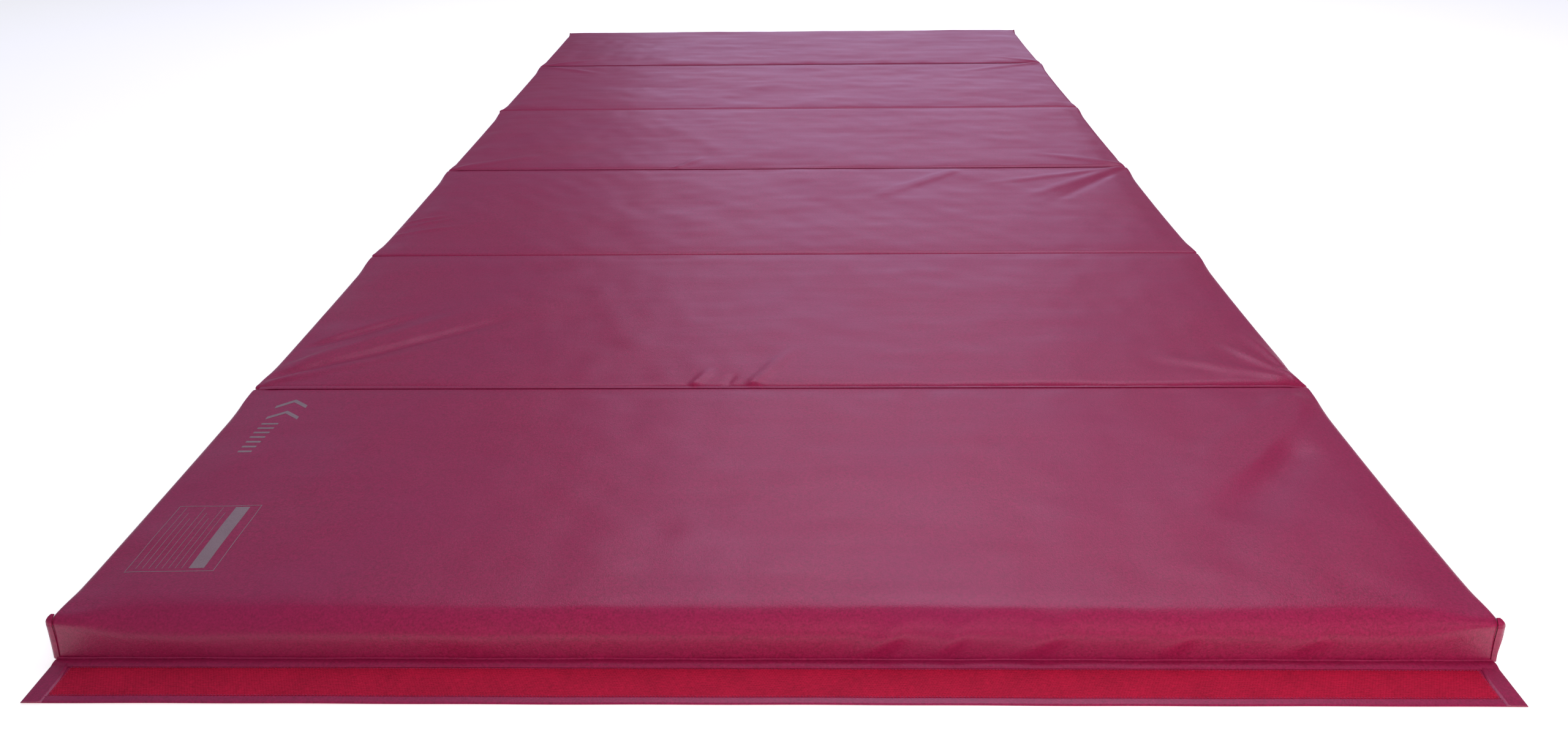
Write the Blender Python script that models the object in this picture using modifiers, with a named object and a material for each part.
"""Six-panel folding landing mat, lying open and flat.

Each panel is a foam block in its own coated-fabric cover: a top cover that wraps over both
cross edges, a bottom cover, and a gusset with a zip at the left side and a plain one at the
right. Flexible webs join the panels, in turn along their top edges and along their bottom
edges, so the mat folds up like a fan. A flap along the near end carries hook tape, and a loop
tape under the far end takes the next mat's flap.

Metres, +Z up. +Y runs along the mat from the flap to the far end, and +X to the right of
someone who stands at the flap and looks along +Y. The origin is on the floor, under the middle
of the mat with its flap laid out.
"""

import math

import bmesh
import bpy

# Driving dimensions of the whole mat
PANELS = 6
PITCH = 0.6096  # two feet of mat length for each panel
WIDTH = 1.8288  # six feet
THICKNESS = 0.0635  # two and a half inches
FLAP_DEPTH = 0.070
TAPE_DEPTH = 0.0508  # two-inch hook tape and loop tape

# Covers
SKIN = 0.0010
CLEARANCE = 0.0003  # air between pieces that touch on the real mat
FOLD_GAP = 0.0030  # between the facing walls of two neighbouring panels
END_RADIUS = 0.018  # top edge at the mat's free ends
END_SPLAY = 0.007  # how far the seam at its foot pulls the near end wall out
TOP_FOLD_RADIUS = 0.010  # top edge beside a web that is sewn at the top
BOTTOM_FOLD_RADIUS = 0.008  # top edge over a web that is sewn at the bottom
ARC_STEPS = 6
WALL_FOOT = SKIN + CLEARANCE  # lowest point of the walls and gussets
FOAM_FOOT = 0.0027  # the foam stays clear of the raised strip over the loop tape

# Webs between the panels
WEB_THICKNESS = 0.0008
TOP_WEB_HALF = 0.0060
TOP_WEB_GAP_HALF = 0.0010
TOP_WEB_STEPS = 5
BOTTOM_WEB_HALF = 0.0050
BOTTOM_WEB_FOOT = 0.0001

# Flap
SEAM_OUT = 0.014  # how far the flap's fold line lies beyond the near end wall
FLAP_SLOT = 0.0016  # between the flap and its fold line, so that it clears the cover when upright
FLAP_FOOT = 0.0002
HEM_THICKNESS = 0.0009
SIDE_HEM = 0.0265
FRONT_HEM = 0.012
HEM_SLOT = 0.0005
TAPE_INSET = 0.006
HOOK_THICKNESS = 0.0017
LOOP_THICKNESS = 0.0008
LOOP_INSET = 0.010
LOOP_RAMP = 0.002
WELT_RADIUS = 0.0015

# Corner seams: two layers of cover, sewn together and standing out sideways
FIN_THICKNESS = 0.0016
FIN_INSET = 0.0010
FIN_TOP_WIDTH = 0.011
FIN_FOOT_WIDTH = 0.006
FIN_TOP_DROP = 0.003
FIN_ROUND = 0.005

# Zips in the left gussets
ZIP_MARGIN = 0.055
ZIP_TAPE_HALF = 0.013
ZIP_TAPE_THICKNESS = 0.0008
ZIP_CHAIN_HALF = 0.0028
ZIP_CHAIN_HEIGHT = 0.0016
ZIP_CENTRE = 0.034
SLIDER_SIZE = (0.0030, 0.016, 0.011)
SLIDER_EDGE = 0.0009
SLIDER_INSET = 0.012

FLAP_REACH = SEAM_OUT + FLAP_SLOT + FLAP_DEPTH
LENGTH = PANELS * PITCH
FAR_Y = (LENGTH + FLAP_REACH) / 2
NEAR_Y = FAR_Y - LENGTH
FLAP_LINE_Y = NEAR_Y - SEAM_OUT
SIDE_X = WIDTH / 2

# Folds whose web is sewn along the top edges: 1, 3 and 5. The others fold at the bottom.
TOP_FOLDS = range(1, PANELS, 2)


def linear(channel):
    """One sRGB channel as a linear value."""
    return channel / 12.92 if channel <= 0.04045 else ((channel + 0.055) / 1.055) ** 2.4


def make_material(name, srgb, roughness, metallic=0.0):
    material = bpy.data.materials.new(name)
    material.use_nodes = True
    shader = material.node_tree.nodes["Principled BSDF"]
    shader.inputs["Base Color"].default_value = [*map(linear, srgb), 1.0]
    shader.inputs["Roughness"].default_value = roughness
    shader.inputs["Metallic"].default_value = metallic
    return material


def new_collection(name):
    collection = bpy.data.collections.new(name)
    bpy.context.scene.collection.children.link(collection)
    return collection


def add_object(name, data, material, location=(0, 0, 0), rotation=(0, 0, 0)):
    obj = bpy.data.objects.new(name, data)
    obj.location = location
    obj.rotation_euler = rotation
    obj.data.materials.append(material)
    bpy.data.collections["folding_landing_mat"].objects.link(obj)
    return obj


def attach(children, pivot):
    """Parent the objects to a pivot and leave them where they are."""
    bpy.context.view_layer.update()
    for child in children:
        child.parent = pivot
        child.matrix_parent_inverse = pivot.matrix_world.inverted()


def add_pivot(name, location):
    pivot = bpy.data.objects.new(name, None)
    pivot.location = location
    pivot.empty_display_size = 0.1
    bpy.data.collections["folding_landing_mat"].objects.link(pivot)
    return pivot


def plate(name, low, high, material, edge=0.0):
    """A box between two corners, with its edges rounded where an edge radius is given."""
    size = [b - a for a, b in zip(low, high)]
    centre = [(a + b) / 2 for a, b in zip(low, high)]
    mesh = bpy.data.meshes.new(name)
    form = bmesh.new()
    bmesh.ops.create_cube(form, size=1.0)
    bmesh.ops.scale(form, vec=size, verts=form.verts)
    form.to_mesh(mesh)
    form.free()
    obj = add_object(name, mesh, material, centre)
    if edge:
        bevel = obj.modifiers.new("rounded edges", "BEVEL")
        bevel.width = edge
        bevel.segments = 2
    return obj


def arc(centre, radius, start, stop):
    """Points on an arc, by angles in degrees."""
    points = []
    for step in range(ARC_STEPS + 1):
        turn = math.radians(start + (stop - start) * step / ARC_STEPS)
        points.append((centre[0] + radius * math.cos(turn), centre[1] + radius * math.sin(turn)))
    return points


def over_the_top(near, far, foot, top, near_radius, far_radius, splay=0.0):
    """A profile in Y and Z: up the near wall, over the top and down the far wall."""
    return [
        (near - splay, foot),
        *arc((near + near_radius, top - near_radius), near_radius, 180, 90),
        *arc((far - far_radius, top - far_radius), far_radius, 90, 0),
        (far, foot),
    ]


def sheet(name, profile, half_width, thickness, material, side=0.0):
    """A profile in Y and Z drawn out along X, then given its thickness.

    side is 0 for a wall centred on the profile and 1 for one that lies inside it."""
    mesh = bpy.data.meshes.new(name)
    form = bmesh.new()
    verts = [form.verts.new((-half_width, y, z)) for y, z in profile]
    edges = [form.edges.new(pair) for pair in zip(verts, verts[1:])]
    drawn = bmesh.ops.extrude_edge_only(form, edges=edges)
    moved = [item for item in drawn["geom"] if isinstance(item, bmesh.types.BMVert)]
    bmesh.ops.translate(form, vec=(2 * half_width, 0, 0), verts=moved)
    bmesh.ops.recalc_face_normals(form, faces=form.faces)
    form.normal_update()
    middle = form.faces[:][len(form.faces) // 2]
    if middle.normal.z < 0:
        bmesh.ops.reverse_faces(form, faces=form.faces)
    form.to_mesh(mesh)
    form.free()
    mesh.shade_smooth()
    mesh.set_sharp_from_angle(angle=math.radians(35))
    obj = add_object(name, mesh, material)
    wall = obj.modifiers.new("thickness", "SOLIDIFY")
    wall.thickness = thickness
    wall.offset = -side
    wall.use_even_offset = True
    return obj


def prism(name, outline, half_length, material, location, rotation):
    """A flat outline drawn out by half_length to both sides."""
    curve = bpy.data.curves.new(name, "CURVE")
    curve.dimensions = "2D"
    curve.fill_mode = "BOTH"
    curve.extrude = half_length
    spline = curve.splines.new("POLY")
    spline.points.add(len(outline) - 1)
    for point, (across, up) in zip(spline.points, outline):
        point.co = (across, up, 0, 1)
    spline.use_cyclic_u = True
    return add_object(name, curve, material, location, rotation)


# An outline's two directions turned to world Y and Z, and to world X and Z
TO_YZ = (math.pi / 2, 0, math.pi / 2)
TO_XZ = (math.pi / 2, 0, 0)


def fold_y(number):
    """Where a fold line lies: 0 is the near end and PANELS the far end."""
    return NEAR_Y + number * PITCH


def edge_radius(number):
    if number in (0, PANELS):
        return END_RADIUS
    return TOP_FOLD_RADIUS if number in TOP_FOLDS else BOTTOM_FOLD_RADIUS


def cover_profile(number):
    """The section of a panel's cover, with the near end wall drawn out at its foot."""
    near, far = panel_ends(number)
    radii = edge_radius(number - 1), edge_radius(number)
    splay = END_SPLAY if number == 1 else 0.0
    return over_the_top(near, far, WALL_FOOT, THICKNESS, *radii, splay)


def panel_ends(number):
    """The near and far face of a panel's cover."""
    near = fold_y(number - 1) + (FOLD_GAP / 2 if number > 1 else 0)
    far = fold_y(number) - (FOLD_GAP / 2 if number < PANELS else 0)
    return near, far


def fold_pivot(number):
    """The line that a fold turns about, just outside the faces that close on each other."""
    height = THICKNESS + CLEARANCE if number in TOP_FOLDS else -CLEARANCE
    return (0, fold_y(number), height)


def foam_core(number, material):
    near, far = panel_ends(number)
    inside = SKIN + CLEARANCE
    outline = over_the_top(
        near + inside,
        far - inside,
        FOAM_FOOT,
        THICKNESS - inside,
        edge_radius(number - 1) - inside,
        edge_radius(number) - inside,
    )
    half = SIDE_X - SKIN - 2 * CLEARANCE
    return prism(f"panel_{number}_foam_core", outline, half, material, (0, 0, 0), TO_YZ)


def top_cover(number, material):
    half = SIDE_X - SKIN - CLEARANCE
    name = f"panel_{number}_top_cover"
    return sheet(name, cover_profile(number), half, SKIN, material, side=1.0)


def gusset(number, side, material):
    """The side wall, whose outline is the panel's own section."""
    name = f"panel_{number}_{'left' if side < 0 else 'right'}_gusset"
    place = (side * (SIDE_X - SKIN / 2), 0, 0)
    return prism(name, cover_profile(number), SKIN / 2, material, place, TO_YZ)


def bottom_cover(number, material):
    """Flat, but raised over the loop tape under the last panel."""
    near, far = panel_ends(number)
    if number == 1:
        near = FLAP_LINE_Y + FLAP_SLOT
    elif number - 1 not in TOP_FOLDS:
        near = fold_y(number - 1) + BOTTOM_WEB_HALF + CLEARANCE
    if number < PANELS and number not in TOP_FOLDS:
        far = fold_y(number) - BOTTOM_WEB_HALF - CLEARANCE
    flat = SKIN / 2
    raised = LOOP_THICKNESS + CLEARANCE + SKIN / 2
    profile = [(near, flat), (far, flat)]
    if number == PANELS:
        tape_far = FAR_Y - LOOP_INSET
        tape_near = tape_far - TAPE_DEPTH
        profile[1:1] = [
            (tape_near - LOOP_RAMP - CLEARANCE, flat),
            (tape_near - CLEARANCE, raised),
            (tape_far + CLEARANCE, raised),
            (tape_far + LOOP_RAMP + CLEARANCE, flat),
        ]
    half = SIDE_X - SKIN - CLEARANCE
    return sheet(f"panel_{number}_bottom_cover", profile, half, SKIN, material)


def zip_chain(number, material):
    """The zip's two tapes and its closed chain of teeth, sewn flat on the left gusset."""
    near, far = panel_ends(number)
    chain_top = ZIP_TAPE_THICKNESS + ZIP_CHAIN_HEIGHT
    outline = [
        (0, -ZIP_TAPE_HALF),
        (0, ZIP_TAPE_HALF),
        (-ZIP_TAPE_THICKNESS, ZIP_TAPE_HALF),
        (-ZIP_TAPE_THICKNESS, ZIP_CHAIN_HALF),
        (-chain_top, ZIP_CHAIN_HALF),
        (-chain_top, -ZIP_CHAIN_HALF),
        (-ZIP_TAPE_THICKNESS, -ZIP_CHAIN_HALF),
        (-ZIP_TAPE_THICKNESS, -ZIP_TAPE_HALF),
    ]
    half = (far - near) / 2 - ZIP_MARGIN
    place = (-SIDE_X - CLEARANCE, (near + far) / 2, ZIP_CENTRE)
    return prism(f"panel_{number}_zip", outline, half, material, place, TO_XZ)


def zip_slider(number, material):
    """The slider at the closed end of its zip, with no pull, so that only a tool opens it."""
    thick, long, high = SLIDER_SIZE
    outer = -SIDE_X - 2 * CLEARANCE - ZIP_TAPE_THICKNESS - ZIP_CHAIN_HEIGHT
    far = panel_ends(number)[1] - ZIP_MARGIN - SLIDER_INSET
    low = (outer - thick, far - long, ZIP_CENTRE - high / 2)
    top = (outer, far, ZIP_CENTRE + high / 2)
    return plate(f"panel_{number}_zip_slider", low, top, material, SLIDER_EDGE)


def fold_web(number, material):
    """The flexible strip that joins two panels, down in the groove or flat underneath."""
    line = fold_y(number)
    name = f"fold_web_{number}_{number + 1}"
    half = SIDE_X - SKIN - CLEARANCE
    if number not in TOP_FOLDS:
        height = BOTTOM_WEB_FOOT + WEB_THICKNESS / 2
        profile = [(line - BOTTOM_WEB_HALF, height), (line + BOTTOM_WEB_HALF, height)]
        return sheet(name, profile, half, WEB_THICKNESS, material)
    radius = TOP_FOLD_RADIUS + CLEARANCE + WEB_THICKNESS
    near_side = []
    for step in range(TOP_WEB_STEPS):
        away = TOP_WEB_HALF + (TOP_WEB_GAP_HALF - TOP_WEB_HALF) * step / (TOP_WEB_STEPS - 1)
        from_centre = FOLD_GAP / 2 + TOP_FOLD_RADIUS - away
        rise = math.sqrt(radius**2 - from_centre**2)
        near_side.append((-away, THICKNESS - TOP_FOLD_RADIUS + rise))
    far_side = [(-away, height) for away, height in reversed(near_side)]
    profile = [(line + away, height) for away, height in near_side + far_side]
    return sheet(name, profile, half, WEB_THICKNESS, material)


def corner_seam(name, side, near_end, material):
    """The seam allowance that joins an end wall to a gusset, wider towards its round ear."""
    foot = WALL_FOOT
    top = THICKNESS - FIN_TOP_DROP
    ear = arc((FIN_TOP_WIDTH - FIN_ROUND, top - FIN_ROUND), FIN_ROUND, 0, 90)
    outline = [(0, foot), (FIN_FOOT_WIDTH, foot), *ear, (0, top)]
    outline = [(side * across, up) for across, up in outline]
    inward = FIN_INSET + FIN_THICKNESS / 2
    y = NEAR_Y + inward if near_end else FAR_Y - inward
    place = (side * (SIDE_X + CLEARANCE), y, 0)
    return prism(name, outline, FIN_THICKNESS / 2, material, place, TO_XZ)


def near_welt(material):
    """The piping over the seam where the end wall, the bottom cover and the flap meet."""
    curve = bpy.data.curves.new("near_end_welt", "CURVE")
    curve.dimensions = "3D"
    curve.bevel_depth = WELT_RADIUS
    curve.bevel_resolution = 2
    curve.use_fill_caps = True
    spline = curve.splines.new("POLY")
    spline.points.add(1)
    half = SIDE_X - SKIN - CLEARANCE
    for point, x in zip(spline.points, (-half, half)):
        point.co = (x, 0, 0, 1)
    place = (0, NEAR_Y - END_SPLAY - CLEARANCE - WELT_RADIUS, WALL_FOOT + WELT_RADIUS)
    return add_object("near_end_welt", curve, material, place)


def flap_pieces(cover, tape):
    """The flap and what is sewn on it, measured out from the seam at its fold line."""
    seam = FLAP_LINE_Y - FLAP_SLOT
    rim = seam - FLAP_DEPTH
    floor = FLAP_FOOT + SKIN
    on_top = floor + CLEARANCE
    hem_top = on_top + HEM_THICKNESS
    inner = SIDE_X - SIDE_HEM
    tape_half = inner - HEM_SLOT
    tape_far = seam - TAPE_INSET
    return [
        plate("flap_sheet", (-SIDE_X, rim, FLAP_FOOT), (SIDE_X, seam, floor), cover),
        plate("flap_left_hem", (-SIDE_X, rim, on_top), (-inner, seam, hem_top), cover),
        plate("flap_right_hem", (inner, rim, on_top), (SIDE_X, seam, hem_top), cover),
        plate(
            "flap_front_hem",
            (-tape_half, rim, on_top),
            (tape_half, rim + FRONT_HEM, hem_top),
            cover,
        ),
        plate(
            "flap_hook_tape",
            (-tape_half, tape_far - TAPE_DEPTH, on_top),
            (tape_half, tape_far, on_top + HOOK_THICKNESS),
            tape,
        ),
    ]


def loop_tape(material):
    far = FAR_Y - LOOP_INSET
    half = SIDE_X - SIDE_HEM
    low = (-half, far - TAPE_DEPTH, 0)
    return plate("far_end_loop_tape", low, (half, far, LOOP_THICKNESS), material)


def panel_pieces(number, cover, foam, zip_tape):
    """Everything that is fixed to one panel, besides what only the end panels have."""
    return [
        foam_core(number, foam),
        top_cover(number, cover),
        bottom_cover(number, cover),
        gusset(number, -1, cover),
        gusset(number, 1, cover),
        zip_chain(number, zip_tape),
    ]


def main():
    for obj in list(bpy.data.objects):
        bpy.data.objects.remove(obj, do_unlink=True)
    new_collection("folding_landing_mat")

    cover = make_material("coated fabric, crimson", (0.52, 0.16, 0.30), 0.42)
    foam = make_material("polyethylene foam, white", (0.86, 0.86, 0.84), 0.9)
    hook = make_material("hook tape, crimson nylon", (0.62, 0.07, 0.20), 0.75)
    loop = make_material("loop tape, crimson nylon", (0.50, 0.06, 0.17), 0.9)
    zip_tape = make_material("zip tape, crimson polyester", (0.36, 0.08, 0.16), 0.7)
    slider = make_material("zip slider, zinc alloy", (0.62, 0.62, 0.64), 0.35, 1.0)

    pivot = None
    for number in range(1, PANELS + 1):
        pieces = panel_pieces(number, cover, foam, zip_tape)
        if number < PANELS:
            pieces.append(fold_web(number, cover))
        if number == 1:
            pieces.append(near_welt(cover))
            pieces.append(corner_seam("corner_seam_near_left", -1, True, cover))
            pieces.append(corner_seam("corner_seam_near_right", 1, True, cover))
        if number == PANELS:
            pieces.append(loop_tape(loop))
            pieces.append(corner_seam("corner_seam_far_left", -1, False, cover))
            pieces.append(corner_seam("corner_seam_far_right", 1, False, cover))
        if number > 1:
            joint = add_pivot(f"panel_{number}_pivot", fold_pivot(number - 1))
            if pivot:
                attach([joint], pivot)
            pivot = joint
        runner = zip_slider(number, slider)
        if pivot:
            attach([*pieces, runner], pivot)

    flap_pivot = add_pivot("flap_pivot", (0, FLAP_LINE_Y, -CLEARANCE / 2))
    attach(flap_pieces(cover, hook), flap_pivot)


main()
